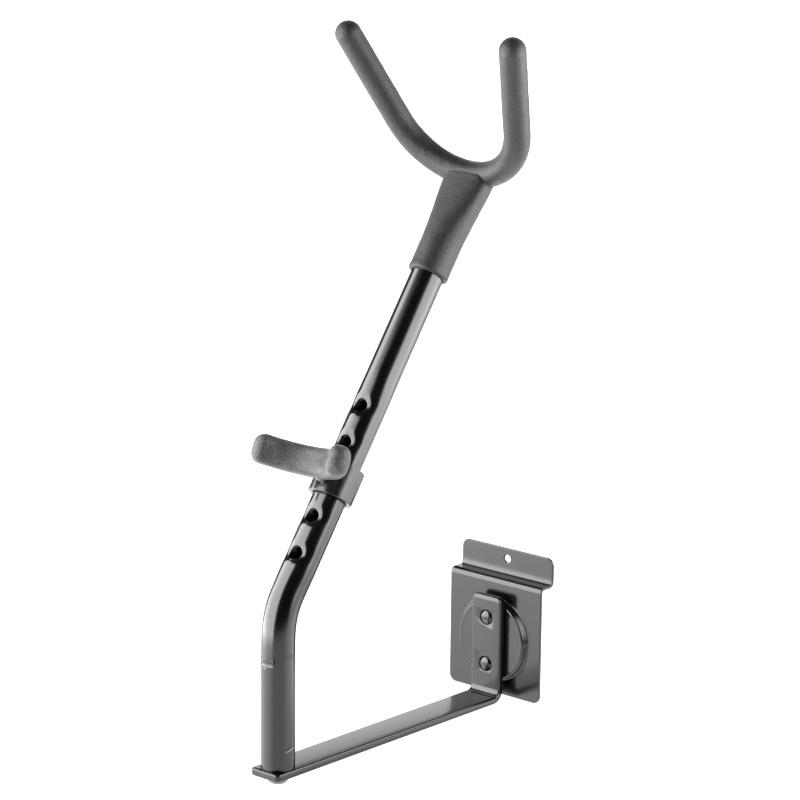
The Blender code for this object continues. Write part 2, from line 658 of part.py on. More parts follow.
core_ang = PRONG_HALF_ANGLE - 0.035
core = loft("prong_core", prong_rings(CORE_HALF_H, CORE_HALF_T, core_ang, 0.35, False, 12, 14), True, BARE_STEEL)
core.parent = prong
pad = loft("prong_pad", prong_rings(PAD_HALF_H, PAD_HALF_T, PRONG_HALF_ANGLE, 0.72, True), True, FOAM)
pad.parent = prong
bore = loft("cut_core_bore", prong_rings(CORE_HALF_H + GAP, CORE_HALF_T + GAP, core_ang + 0.008, 0.35, False, 12, 14),
            True, cutter=True)
bore.parent = prong
boolean(pad, bore)
hole = cylinder("cut_stem_hole", STEM_R + GAP, 0.006, PRONG_OUT, 24, cutter=True)
hole.parent = prong
boolean(pad, hole)
stem = turned("prong_stem", [(0.0, PRONG_OUT - CORE_HALF_T), (STEM_R, PRONG_OUT - CORE_HALF_T),
                             (STEM_R, STEM_NOSE_R + 0.0008), (STEM_R - 0.0008, STEM_NOSE_R), (0.0, STEM_NOSE_R)],
              24, ZINC)
stem.parent = prong
boolean(stem, bore)

# ---------------------------------------------------------------- shading
for o in PARTS.objects:
    if o.type == "MESH":
        smooth(o)
bpy.context.view_layer.update()
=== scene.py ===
"""Looks of the slatwall saxophone holder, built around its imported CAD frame."""
import math

import bmesh
import bpy
import numpy as np
from mathutils import Matrix, Vector


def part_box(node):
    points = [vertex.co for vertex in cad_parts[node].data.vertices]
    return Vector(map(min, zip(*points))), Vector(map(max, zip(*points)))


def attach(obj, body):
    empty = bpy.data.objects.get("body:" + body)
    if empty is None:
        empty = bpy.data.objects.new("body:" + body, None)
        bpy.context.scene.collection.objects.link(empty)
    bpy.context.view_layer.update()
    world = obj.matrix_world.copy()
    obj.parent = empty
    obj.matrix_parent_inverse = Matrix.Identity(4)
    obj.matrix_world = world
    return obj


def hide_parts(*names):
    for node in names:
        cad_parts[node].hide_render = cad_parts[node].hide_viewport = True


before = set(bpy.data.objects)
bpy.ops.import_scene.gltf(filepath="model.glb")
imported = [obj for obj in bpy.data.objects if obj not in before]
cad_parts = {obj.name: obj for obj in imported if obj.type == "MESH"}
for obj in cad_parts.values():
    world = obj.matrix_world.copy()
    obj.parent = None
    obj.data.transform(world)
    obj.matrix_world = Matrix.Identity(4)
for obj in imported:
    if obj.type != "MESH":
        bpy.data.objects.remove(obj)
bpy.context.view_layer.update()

# ------------------------------------------------------------------ dimensions (metres), as in the CAD
PLATE_W, PLATE_T, PLATE_BOTTOM_Z, STEP_Z, TONGUE_TOP_Z = 0.080, 0.002, -0.0747, 0.0063, 0.0254
TONGUE_SETBACK, PLATE_BEND_R, PLATE_CORNER_R = 0.0118, 0.0028, 0.0055
LOCK_HOLE_R, LOCK_HOLE_Z = 0.0030, 0.0180
EMBOSS_Z, EMBOSS_R_BASE, EMBOSS_R_TOP, EMBOSS_H = -0.0357, 0.0295, 0.0278, 0.0040
BAR_W, BAR_T, BAR_EDGE_R, BAR_BOTTOM_Z, BAR_FREE_END_Y = 0.025, 0.005, 0.0012, -0.0775, -0.2283
BAR_CORNER_R, LEG_TOP_Z, LEG_CORNER_R, BAR_BEND_R_IN, LEG_BACK_Y = 0.0034, -0.0034, 0.0040, 0.0044, -0.0063
RIVET_Z, SINK_R, SINK_DEPTH, HEAD_R, SHANK_R = (-0.0189, -0.0520), 0.0052, 0.0024, 0.0050, 0.0030
TUBE_R, TUBE_WALL, TUBE_Y, CORNER_Z, TILT, BEND_R = 0.011, 0.0015, -0.2152, 0.0280, math.radians(34.88), 0.050
TUBE_END_S, FLAT_FROM_S, FLAT_HALF_W, FLAT_HALF_T, OVAL = 0.3170, 0.2640, 0.0150, 0.0042, 1.05
HOLE_PITCH, HOLE_MID_S, HOLE_COUNT, HOLE_R = 0.026, 0.0919, 5, 0.0044
DISH_DEPTH, DISH_ALONG, DISH_ACROSS = 0.0032, 0.0090, 0.0046
STAKE_Z = BAR_BOTTOM_Z + 0.019
CLAMP_Z = BAR_BOTTOM_Z + 0.0745
FORK_S, FORK_OUT, FORK_SLOPE, FORK_ARC_R = 0.3175, -0.0012, math.radians(117.1), 0.0528
FORK_FLARE, FORK_ARM, FORK_COVER_R = math.radians(16.5), 0.0655, 0.0085
SLEEVE_FROM_S, SLEEVE_TO_S, SLEEVE_R, SLEEVE_HALF_W, SLEEVE_HALF_T = 0.2420, 0.3138, 0.0134, 0.0185, 0.0090
COLLAR_R, COLLAR_BORE_R, COLLAR_LEN, COLLAR_UP, STEM_R = 0.0149, 0.01175, 0.0225, 0.0008, 0.0050
PRONG_R, PRONG_HALF_ANGLE, PRONG_OUT, PRONG_UP = 0.0360, math.radians(60.5), 0.0233, 0.0042
PRONG_DIP, PRONG_TURN, PAD_HALF_H, PAD_HALF_T = math.radians(7.7), math.radians(3.4), 0.0097, 0.0071
FOOT_Z = BAR_BOTTOM_Z + BAR_T + 0.0003

CORNER = Vector((0, TUBE_Y, CORNER_Z))
U = Vector((0, math.sin(TILT), math.cos(TILT)))
N = Vector((0, -math.cos(TILT), math.sin(TILT)))
XV = Vector((1, 0, 0))
BEND_T = BEND_R * math.tan(TILT / 2)
HOLES_S = [HOLE_MID_S + (i - (HOLE_COUNT - 1) / 2) * HOLE_PITCH for i in range(HOLE_COUNT)]
LV = (CORNER_Z - BEND_T) - FOOT_Z
LA = BEND_R * TILT
HOME = CORNER + U * HOLE_MID_S

PIECES = bpy.data.collections.new("visual_pieces")
bpy.context.scene.collection.children.link(PIECES)


def ease(k):
    k = min(1.0, max(0.0, k))
    return k * k * (3 - 2 * k)


def arc(cx, cy, r, a0, a1, n):
    return [(cx + r * math.cos(a0 + (a1 - a0) * i / n), cy + r * math.sin(a0 + (a1 - a0) * i / n)) for i in range(n + 1)]


def frame_matrix(origin, x, y, z):
    m = Matrix((x, y, z)).transposed().to_4x4()
    m.translation = origin
    return m


# ------------------------------------------------------------------ cheap repeatable noise for shape
def _hash(i, j, k, seed):
    h = (i * 374761393 + j * 668265263 + k * 2147483647 + seed * 974634777) & 0xFFFFFFFF
    h = ((h ^ (h >> 13)) * 1274126177) & 0xFFFFFFFF
    return ((h ^ (h >> 16)) & 0xFFFF) / 32767.5 - 1.0


def lump(p, size, seed=1):
    """Smooth value noise of a point, about -1 to 1, with cells of the given size."""
    x, y, z = p[0] / size, p[1] / size, p[2] / size
    i, j, k = math.floor(x), math.floor(y), math.floor(z)
    u, v, w = (t * t * (3 - 2 * t) for t in (x - i, y - j, z - k))
    out = 0.0
    for a in (0, 1):
        for b in (0, 1):
            for c in (0, 1):
                out += (_hash(i + a, j + b, k + c, seed) * (u if a else 1 - u) * (v if b else 1 - v)
                        * (w if c else 1 - w))
    return out


# ------------------------------------------------------------------ materials
def nodes_of(name):
    m = bpy.data.materials.new(name)
    m.use_nodes = True
    nt = m.node_tree
    b = nt.nodes["Principled BSDF"]
    co = nt.nodes.new("ShaderNodeTexCoord")
    return m, nt, b, co.outputs["Object"]


def noise(nt, vec, scale, detail=4.0, rough=0.55):
    n = nt.nodes.new("ShaderNodeTexNoise")
    n.inputs["Scale"].default_value = scale
    n.inputs["Detail"].default_value = detail
    n.inputs["Roughness"].default_value = rough
    nt.links.new(vec, n.inputs["Vector"])
    return n.outputs["Fac"]


def ramp(nt, fac, stops):
    r = nt.nodes.new("ShaderNodeValToRGB")
    e = r.color_ramp.elements
    while len(e) > len(stops):
        e.remove(e[-1])
    while len(e) < len(stops):
        e.new(0.5)
    for el, (p, c) in zip(e, stops):
        el.position = p
        el.color = (*c, 1.0) if len(c) == 3 else c
    nt.links.new(fac, r.inputs["Fac"])
    return r.outputs["Color"]


def to_range(nt, fac, a, b, c, d):
    r = nt.nodes.new("ShaderNodeMapRange")
    for n, v in (("From Min", a), ("From Max", b), ("To Min", c), ("To Max", d)):
        r.inputs[n].default_value = v
    nt.links.new(fac, r.inputs["Value"])
    return r.outputs["Result"]


def maths(nt, op, a, b):
    m = nt.nodes.new("ShaderNodeMath")
    m.operation = op
    for s, v in zip(m.inputs, (a, b)):
        if isinstance(v, (int, float)):
            s.default_value = v
        else:
            nt.links.new(v, s)
    return m.outputs["Value"]


def bump(nt, b, height, dist, strength=1.0, onto=None):
    n = nt.nodes.new("ShaderNodeBump")
    n.inputs["Distance"].default_value = dist
    n.inputs["Strength"].default_value = strength
    nt.links.new(height, n.inputs["Height"])
    if onto is not None:
        nt.links.new(onto, n.inputs["Normal"])
    if b is not None:
        nt.links.new(n.outputs["Normal"], b.inputs["Normal"])
    return n.outputs["Normal"]


def powder_coat():
    """Satin powder coat on the plate and bar: fine orange peel with tiny raised specks, faint cloudiness."""
    m, nt, b, co = nodes_of("powder_coat_fine")
    cloud = noise(nt, co, 55, 4)
    speck = noise(nt, co, 5200, 1.0)
    col = ramp(nt, cloud, [(0.3, (0.0014, 0.0014, 0.0015)), (0.7, (0.0019, 0.0019, 0.0020))])
    nt.links.new(col, b.inputs["Base Color"])
    nt.links.new(to_range(nt, cloud, 0.3, 0.7, 0.175, 0.195), b.inputs["Roughness"])
    b.inputs["Specular IOR Level"].default_value = 0.47
    peel = maths(nt, "ADD", noise(nt, co, 900, 2), maths(nt, "MULTIPLY", speck, 0.25))
    bump(nt, b, peel, 0.000010, 0.4)
    return m


def gloss_coat():
    """Glossy black coat on the tube: very dark, long soft waves of the drawn tube, faint fine peel."""
    m, nt, b, co = nodes_of("gloss_coat_fine")
    cloud = noise(nt, co, 80, 3)
    col = ramp(nt, cloud, [(0.3, (0.0008, 0.0008, 0.0008)), (0.7, (0.0013, 0.0013, 0.00135))])
    nt.links.new(col, b.inputs["Base Color"])
    nt.links.new(to_range(nt, cloud, 0.3, 0.7, 0.17, 0.20), b.inputs["Roughness"])
    b.inputs["Specular IOR Level"].default_value = 0.50
    bump(nt, b, noise(nt, co, 1100, 2), 0.000005, 0.4)
    return m


def foam(name, tint=1.0, seed=0.0):
    """Matte closed-cell foam skin: fine pitted grain, cells of uneven size, softly mottled tone."""
    m, nt, b, co = nodes_of(name)
    shift = nt.nodes.new("ShaderNodeVectorMath")
    shift.operation = "ADD"
    shift.inputs[1].default_value = (seed, seed * 0.7, 0.0)
    nt.links.new(co, shift.inputs[0])
    vec = shift.outputs["Vector"]
    vor = nt.nodes.new("ShaderNodeTexVoronoi")
    vor.feature = "F1"
    vor.inputs["Scale"].default_value = 950
    nt.links.new(vec, vor.inputs["Vector"])
    cells = vor.outputs["Distance"]
    grain = noise(nt, vec, 1450, 3, 0.6)
    broad = noise(nt, vec, 120, 3)
    mix = maths(nt, "ADD", maths(nt, "MULTIPLY", cells, 0.55), maths(nt, "MULTIPLY", grain, 0.75))
    tone = maths(nt, "ADD", maths(nt, "MULTIPLY", grain, 0.82), maths(nt, "MULTIPLY", broad, 0.18))
    col = ramp(nt, tone, [(0.40, tuple(tint * v for v in (0.0009, 0.0009, 0.0010))),
                          (0.50, tuple(tint * v for v in (0.0026, 0.0027, 0.0028))),
                          (0.62, tuple(tint * v for v in (0.0098, 0.0100, 0.0103)))])
    nt.links.new(col, b.inputs["Base Color"])
    nt.links.new(to_range(nt, grain, 0.3, 0.7, 0.35, 0.47), b.inputs["Roughness"])
    b.inputs["Specular IOR Level"].default_value = 0.28
    b.inputs["Sheen Weight"].default_value = 0.09
    b.inputs["Sheen Roughness"].default_value = 0.50
    bump(nt, b, mix, 0.00032, 0.95)
    return m


def collar_plastic():
    """Satin moulded plastic: faint cloudiness in tone and gloss, and a fine texture."""
    m, nt, b, co = nodes_of("collar_plastic_fine")
    cloud = noise(nt, co, 70, 3)
    col = ramp(nt, cloud, [(0.3, (0.0016, 0.0016, 0.0017)), (0.7, (0.0023, 0.0023, 0.0024))])
    nt.links.new(col, b.inputs["Base Color"])
    nt.links.new(to_range(nt, noise(nt, co, 260, 3), 0.3, 0.7, 0.21, 0.27), b.inputs["Roughness"])
    b.inputs["Specular IOR Level"].default_value = 0.52
    bump(nt, b, noise(nt, co, 1700, 2), 0.00002, 0.6)
    return m


def steel(name, c0, c1, r0, r1, metal=1.0, scale=300):
    m, nt, b, co = nodes_of(name)
    n1 = noise(nt, co, scale, 4)
    nt.links.new(ramp(nt, n1, [(0.3, c0), (0.7, c1)]), b.inputs["Base Color"])
    nt.links.new(to_range(nt, noise(nt, co, scale * 3, 3), 0.3, 0.7, r0, r1), b.inputs["Roughness"])
    b.inputs["Metallic"].default_value = metal
    bump(nt, b, noise(nt, co, scale * 8, 2), 0.000015, 0.5)
    return m


POWDER, GLOSS, COLLAR = powder_coat(), gloss_coat(), collar_plastic()
FORK_FOAM, NECK_FOAM, PAD_FOAM = foam("fork_foam_skin", 1.0, 0.0), foam("neck_foam_skin", 1.0, 0.31), foam("pad_foam_skin", 7.0, 0.57)
ZINC = steel("zinc_plate_fine", (0.45, 0.46, 0.48), (0.62, 0.63, 0.66), 0.22, 0.38)
BLACK_STEEL = steel("black_oxide_fine", (0.030, 0.030, 0.032), (0.060, 0.060, 0.064), 0.28, 0.42, 0.5)
BARE = steel("bare_steel_fine", (0.30, 0.30, 0.31), (0.46, 0.46, 0.47), 0.35, 0.5)


# ------------------------------------------------------------------ mesh tools
def piece(name, me, mat, body, nodes=(), sharp=None):
    o = me if isinstance(me, bpy.types.Object) else bpy.data.objects.new(name, me)
    o.name = name
    if not o.users_collection:
        PIECES.objects.link(o)
    o.data.materials.clear()
    o.data.materials.append(mat)
    o.data.shade_smooth()
    if sharp is not None:
        o.data.set_sharp_from_angle(angle=math.radians(sharp))
    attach(o, body)
    if nodes:
        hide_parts(*nodes)
    return o


def mesh_of(name, verts, faces):
    me = bpy.data.meshes.new(name)
    me.from_pydata([tuple(v) for v in verts], [], faces)
    me.update()
    return me


def welded(me, dist=1e-6, outward=True):
    bm = bmesh.new()
    bm.from_mesh(me)
    bmesh.ops.remove_doubles(bm, verts=bm.verts[:], dist=dist)
    if outward:
        bmesh.ops.recalc_face_normals(bm, faces=bm.faces[:])
    bm.to_mesh(me)
    bm.free()
    return me


def apply_all(o):
    """Bakes an object's modifiers and placement into a plain mesh."""
    bpy.context.view_layer.update()
    dg = bpy.context.evaluated_depsgraph_get()
    me = bpy.data.meshes.new_from_object(o.evaluated_get(dg))
    me.transform(o.matrix_world)
    name, coll = o.name, list(o.users_collection)
    bpy.data.objects.remove(o, do_unlink=True)
    new = bpy.data.objects.new(name, me)
    for c in coll:
        c.objects.link(new)
    return new


def lathe(name, profile, segs, matrix=None, closed=None):
    """Mesh turned from a (radius, height) profile; ends on the axis close themselves."""
    if closed is None:
        closed = profile[0][0] > 1e-9 and profile[-1][0] > 1e-9
    verts, rows = [], []
    for r, z in profile:
        if r < 1e-9:
            rows.append([len(verts)] * segs)
            verts.append(Vector((0, 0, z)))
        else:
            rows.append(list(range(len(verts), len(verts) + segs)))
            verts += [Vector((r * math.cos(math.tau * i / segs), r * math.sin(math.tau * i / segs), z)) for i in range(segs)]
    faces = []
    pairs = list(zip(rows, rows[1:])) + ([(rows[-1], rows[0])] if closed else [])
    for a, b in pairs:
        for i in range(segs):
            j = (i + 1) % segs
            f = []
            for v in (a[i], a[j], b[j], b[i]):
                if v not in f:
                    f.append(v)
            if len(f) > 2:
                faces.append(f)
    if matrix is not None:
        verts = [matrix @ v for v in verts]
    return welded(mesh_of(name, verts, faces))


def skin(name, rings, caps=True):
    n = len(rings[0])
    verts = [p for ring in rings for p in ring]
    faces = []
    for k in range(len(rings) - 1):
        for i in range(n):
            j = (i + 1) % n
            faces.append((k * n + i, k * n + j, (k + 1) * n + j, (k + 1) * n + i))
    if caps:
        faces.append(tuple(range(n))[::-1])
        faces.append(tuple(range(len(verts) - n, len(verts))))
    return welded(mesh_of(name, verts, faces))


def boolean(o, cutter, op="DIFFERENCE"):
    m = o.modifiers.new("cut", "BOOLEAN")
    m.operation, m.object, m.solver = op, cutter, "EXACT"


def temp(name, me):
    o = bpy.data.objects.new(name, me)
    PIECES.objects.link(o)
    return o


def drop(*objs):
    for o in objs:
        bpy.data.objects.remove(o, do_unlink=True)


def rounded_sheet(name, loops, thick, edge, res=3):
    """A flat plate in local XY with rounded edges, from closed outlines (the first is the outside)."""
    cu = bpy.data.curves.new(name, "CURVE")
    cu.dimensions, cu.fill_mode = "2D", "BOTH"
    cu.extrude, cu.bevel_depth, cu.bevel_resolution = thick / 2 - edge, edge, res
    for loop in loops:
        sp = cu.splines.new("POLY")
        sp.points.add(len(loop) - 1)
        for q, (x, y) in zip(sp.points, loop):
            q.co = (x, y, 0, 1)
        sp.use_cyclic_u = True
    o = temp(name, cu)
    o = apply_all(o)
    bm = bmesh.new()
    bm.from_mesh(o.data)
    bmesh.ops.remove_doubles(bm, verts=bm.verts[:], dist=1e-6)
    bmesh.ops.dissolve_limit(bm, angle_limit=math.radians(0.4), verts=bm.verts[:], edges=bm.edges[:])
    return o, bm


def weighted(o):
    """Vertex normals weighted by face area, so that flat sheet stays flat beside its rounded edges."""
    o.data.shade_smooth()
    o.data.set_sharp_from_angle(angle=math.radians(40))
    m = o.modifiers.new("weighted", "WEIGHTED_NORMAL")
    m.mode, m.weight, m.keep_sharp = "FACE_AREA", 50, True
    return apply_all(o)


def slice_bm(bm, cuts, axis):
    no = Vector((1, 0, 0)) if axis == 0 else Vector((0, 1, 0))
    for c in cuts:
        bmesh.ops.bisect_plane(bm, geom=bm.verts[:] + bm.edges[:] + bm.faces[:], dist=1e-8, plane_co=no * c, plane_no=no)


def finish_bm(bm, o):
    bmesh.ops.remove_doubles(bm, verts=bm.verts[:], dist=1e-7)
    bmesh.ops.recalc_face_normals(bm, faces=bm.faces[:])
    bm.to_mesh(o.data)
    bm.free()
    return o


# ------------------------------------------------------------------ slatwall plate
# flat outline (x across, y along the developed sheet), sliced fine, then bent and embossed
ym, yk = -PLATE_T / 2, -PLATE_T / 2 + TONGUE_SETBACK
l1 = STEP_Z - PLATE_BEND_R - PLATE_BOTTOM_Z
q = PLATE_BEND_R * math.pi / 2
l2 = (yk - ym) - 2 * PLATE_BEND_R
plate_len = l1 + q + l2 + q + TONGUE_TOP_Z - STEP_Z - PLATE_BEND_R
e, r, hw = 0.0006, PLATE_CORNER_R, PLATE_W / 2
outer = []
for cx, cy, a0 in ((hw - r, plate_len - r, 0), (-hw + r, plate_len - r, 90), (-hw + r, r, 180), (hw - r, r, 270)):
    outer += arc(cx, cy, r - e, math.radians(a0), math.radians(a0 + 90), 12)
hole_y = l1 + q + l2 + q + LOCK_HOLE_Z - STEP_Z - PLATE_BEND_R
hole = arc(0, hole_y, LOCK_HOLE_R + e * 0.6, math.tau, math.tau / 48, 47)
FIELD_R, FIELD_N = 0.0325, 168
field_y = EMBOSS_Z - PLATE_BOTTOM_Z
field = arc(0, field_y, FIELD_R - e, math.tau, math.tau / FIELD_N, FIELD_N - 1)
plate, bm = rounded_sheet("plate_skin", [outer, hole, field], PLATE_T, e * 0.98, 3)


def off_centre(v):
    return math.hypot(v.co.x, v.co.y - field_y)


# the field's own edge goes, and a disc of fine rings takes its place on both faces
rim = max(off_centre(v) for v in bm.verts if off_centre(v) < FIELD_R + 0.0004)
bmesh.ops.delete(bm, geom=[f for f in bm.faces if all(off_centre(v) < rim + 1e-5 for v in f.verts)], context="FACES")
bmesh.ops.delete(bm, geom=[v for v in bm.verts if not v.link_faces], context="VERTS")
radii = [0.0318, 0.0312, 0.0308] + [0.0305 - 0.00008 * k for k in range(52)] + [0.0260, 0.0252, 0.0240, 0.0215, 0.0180, 0.0140, 0.0100, 0.0060, 0.0025]
for side in (1, -1):
    ring = sorted((v for v in bm.verts if abs(off_centre(v) - rim) < 1e-5 and v.co.z * side > PLATE_T / 2 - 1e-5),
                  key=lambda v: math.atan2(v.co.y - field_y, v.co.x))
    angles = [math.atan2(v.co.y - field_y, v.co.x) for v in ring]
    for rad in radii:
        new = [bm.verts.new((rad * math.cos(a), field_y + rad * math.sin(a), side * PLATE_T / 2)) for a in angles]
        for i in range(len(ring)):
            j = (i + 1) % len(ring)
            bm.faces.new((ring[i], ring[j], new[j], new[i])[::side])
        ring = new
    bm.faces.new(ring[::side])
slice_bm(bm, [l1 + q * k / 9 for k in range(10)]
         + [l1 + q + l2 + q * k / 9 for k in range(10)] + [l1 + q + l2 + q + 0.0005 * k for k in range(1, 16)], 1)


def spine(s):
    """Developed length -> (y, z) and the direction of the sheet's room side."""
    if s <= l1:
        return (ym, PLATE_BOTTOM_Z + s), (-1.0, 0.0)
    s -= l1
    if s <= q:
        a = s / PLATE_BEND_R
        return (ym + PLATE_BEND_R * (1 - math.cos(a)), STEP_Z - PLATE_BEND_R + PLATE_BEND_R * math.sin(a)), (-math.cos(a), math.sin(a))
    s -= q
    if s <= l2:
        return (ym + PLATE_BEND_R + s, STEP_Z), (0.0, 1.0)
    s -= l2
    if s <= q:
        a = s / PLATE_BEND_R
        return (yk - PLATE_BEND_R + PLATE_BEND_R * math.sin(a), STEP_Z + PLATE_BEND_R * (1 - math.cos(a))), (-math.sin(a), math.cos(a))
    s -= q
    return (yk + 0.00022 * (1 - math.exp(-s / 0.0015)), STEP_Z + PLATE_BEND_R + s), (-1.0, 0.0)


def emboss(d):
    """Rise of the pressed field at distance d from its centre: tight bends at its foot and rim, a steep wall between."""
    a, b, soft = EMBOSS_R_TOP, EMBOSS_R_BASE, 0.00035

    def bend(u):                                     # a ramp of slope 1 that starts softly at 0
        return 0.5 * (u + math.sqrt(u * u + soft * soft))
    rise = (bend(b - d) - bend(a - d)) / (b - a)
    bead = 0.00016 * math.exp(-((d - (a - 0.0010)) / 0.0007) ** 2)
    k = (b - d) / (b - a)
    ripple = 0.00010 * math.sin(math.tau * 2 * k) * math.sin(math.pi * k) ** 2 if 0 < k < 1 else 0.0
    return EMBOSS_H * rise + bead + ripple


for v in bm.verts:
    x, s, t = v.co
    (y, z), (dy, dz) = spine(s)
    t += emboss(math.hypot(x, z - EMBOSS_Z)) if s < l1 else 0.0
    v.co = (x, y + dy * t, z + dz * t)
plate = weighted(finish_bm(bm, plate))
plate = piece("plate_skin", plate, POWDER, "holder", ["slatwall_plate"], 40)

# ------------------------------------------------------------------ flat bar
yl, zb = LEG_BACK_Y - BAR_T / 2, BAR_BOTTOM_Z + BAR_T / 2
br = BAR_BEND_R_IN + BAR_T / 2
run = yl - br - BAR_FREE_END_Y
qb = br * math.pi / 2
bar_len = run + qb + LEG_TOP_Z - (zb + br)
e, hw = BAR_EDGE_R, BAR_W / 2
outer = []
for cx, cy, rr, a0 in ((bar_len - LEG_CORNER_R, hw - LEG_CORNER_R, LEG_CORNER_R, 0),
                       (BAR_CORNER_R, hw - BAR_CORNER_R, BAR_CORNER_R, 90),
                       (BAR_CORNER_R, BAR_CORNER_R - hw, BAR_CORNER_R, 180),
                       (bar_len - LEG_CORNER_R, LEG_CORNER_R - hw, LEG_CORNER_R, 270)):
    outer += arc(cx, cy, rr - e, math.radians(a0), math.radians(a0 + 90), 10)
foot_hole = arc(TUBE_Y - BAR_FREE_END_Y, 0, 0.0043 + e * 0.5, math.tau, math.tau / 40, 39)
bar, bm = rounded_sheet("bar_skin", [outer, foot_hole], BAR_T, e * 0.98, 5)
slice_bm(bm, [0.006 * k for k in range(1, int(run / 0.006))] + [run + qb * k / 16 for k in range(17)]
         + [run + qb + 0.005 * k for k in range(1, 12)] + [bar_len - 0.00125 - 0.0003 * k for k in range(8)], 0)
for v in bm.verts:
    s, x, t = v.co
    if t > 0:                                        # the leg's top edge is worn rounder towards the room
        t -= 0.0008 * max(0.0, 1 - (bar_len - s) / 0.0034) ** 2
    if s <= run:
        v.co = (x, BAR_FREE_END_Y + s, zb + t)
    elif s >= run + qb:
        v.co = (x, yl - t, zb + br + s - run - qb)
    else:
        a = (s - run) / br
        # the sheet bulges a little at the inside of the bend and thins on the outside, as pressed bar does
        k = math.sin(math.pi * (s - run) / qb)
        x *= 1.0 + 0.010 * k * (1.0 if t > 0 else -0.4)
        v.co = (x, yl - br + (br - t) * math.sin(a), zb + br - (br - t) * math.cos(a))
bar = finish_bm(bm, bar)
for z in RIVET_Z:
    f = 0.0007
    lip = [(SINK_R + f * (1 - math.sin(a)), BAR_T - f * (1 - math.cos(a))) for a in
           (math.radians(18 + 72 * k / 5) for k in range(6))]
    # the cutter meets the face at a slant, not along it, so the cut's rim is one clean loop
    prof = [(0, 0.012), (SINK_R + f + 0.0010, 0.012), (SINK_R + f + 0.00010, BAR_T + 0.00010)] + lip + [(SINK_R, BAR_T - SINK_DEPTH), (SHANK_R + 0.0003, BAR_T - SINK_DEPTH),
                                                      (SHANK_R + 0.0003, -0.01), (0, -0.01)]
    cut = temp("cut", lathe("cut", prof, 48, frame_matrix(Vector((0, LEG_BACK_Y, z)), Vector((1, 0, 0)), Vector((0, 0, 1)), Vector((0, -1, 0)))))
    boolean(bar, cut)
    bar = apply_all(bar)
    drop(cut)
bar = piece("bar_skin", bar, POWDER, "holder", ["bracket_bar"], 40)

# ------------------------------------------------------------------ rivets
for name, z in (("leg_rivet_upper", RIVET_Z[0]), ("leg_rivet_lower", RIVET_Z[1])):
    low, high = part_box(name)
    floor = BAR_T - SINK_DEPTH + 0.0003
    dome = [(HEAD_R * math.sin(a), floor + 0.0010 + 0.0024 * math.cos(a)) for a in (math.radians(90 * k / 14) for k in range(15))]
    prof = dome + [(HEAD_R - 0.0001, floor + 0.0002), (HEAD_R - 0.0003, floor), (SHANK_R, floor), (SHANK_R, -0.0026), (0.0046, -0.0026),
                   (0.0048, -0.0030), (0.0046, -0.0040), (0.0034, -0.0047), (0, -0.0050)]
    me = lathe(name + "_head", prof, 48, frame_matrix(Vector((0, LEG_BACK_Y, z)), Vector((1, 0, 0)), Vector((0, 0, 1)), Vector((0, -1, 0))))
    piece(name + "_head", me, GLOSS, "holder", [name], 50)


# ------------------------------------------------------------------ upright tube
def flat_section(s, r, half_w, half_t, extra=0.0):
    k = min(1.0, max(0.0, (s - FLAT_FROM_S) / (0.3125 - FLAT_FROM_S)))
    k = 0.5 * k + 0.5 * ease(k)
    return r + (half_w - r) * k + extra, r + (half_t - r) * k + extra, 1.0 - 0.35 * k


# the bend starts gently at the clamp's edge and tightens: path length, angle and place along it
BEND_L, BEND_STEPS = 0.046, 460
_a = [TILT * (lambda v: v * v * (3 - 2 * v))((i / BEND_STEPS) ** 1.5) for i in range(BEND_STEPS + 1)]
_y, _z = [0.0], [0.0]
for i in range(BEND_STEPS):
    m = (_a[i] + _a[i + 1]) / 2
    _y.append(_y[-1] + math.sin(m) * BEND_L / BEND_STEPS)
    _z.append(_z[-1] + math.cos(m) * BEND_L / BEND_STEPS)
BEND_Z0 = CORNER_Z + _y[-1] / math.tan(TILT) - _z[-1]
LV, LA = BEND_Z0 - FOOT_Z, BEND_L
BEND_S1 = _y[-1] / math.sin(TILT)


def tube_station(t):
    if t <= LV:
        return Vector((0, TUBE_Y, FOOT_Z + t)), Vector((0, -1, 0)), t - LV - LA + BEND_S1
    if t <= LV + LA:
        f = (t - LV) / LA * BEND_STEPS
        i = min(BEND_STEPS - 1, int(f))
        f -= i
        a = _a[i] + (_a[i + 1] - _a[i]) * f
        y, z = _y[i] + (_y[i + 1] - _y[i]) * f, _z[i] + (_z[i + 1] - _z[i]) * f
        return Vector((0, TUBE_Y + y, BEND_Z0 + z)), Vector((0, -math.cos(a), math.sin(a))), BEND_S1 - (LV + LA - t)
    s = BEND_S1 + t - LV - LA
    return CORNER + U * s, N, s


def t_of(s):
    return LV + LA + s - BEND_S1


def wall_in(t):
    """How far the outer wall of the bend is drawn in, from the clamp's edge on."""
    u = t + FOOT_Z - CLAMP_Z
    if u <= 0:
        return 0.0
    rise = 0.00055 * (1 - math.exp(-u / 0.0095))
    return rise * ease((t_of(HOLES_S[0] - 0.012) - t) / 0.030)


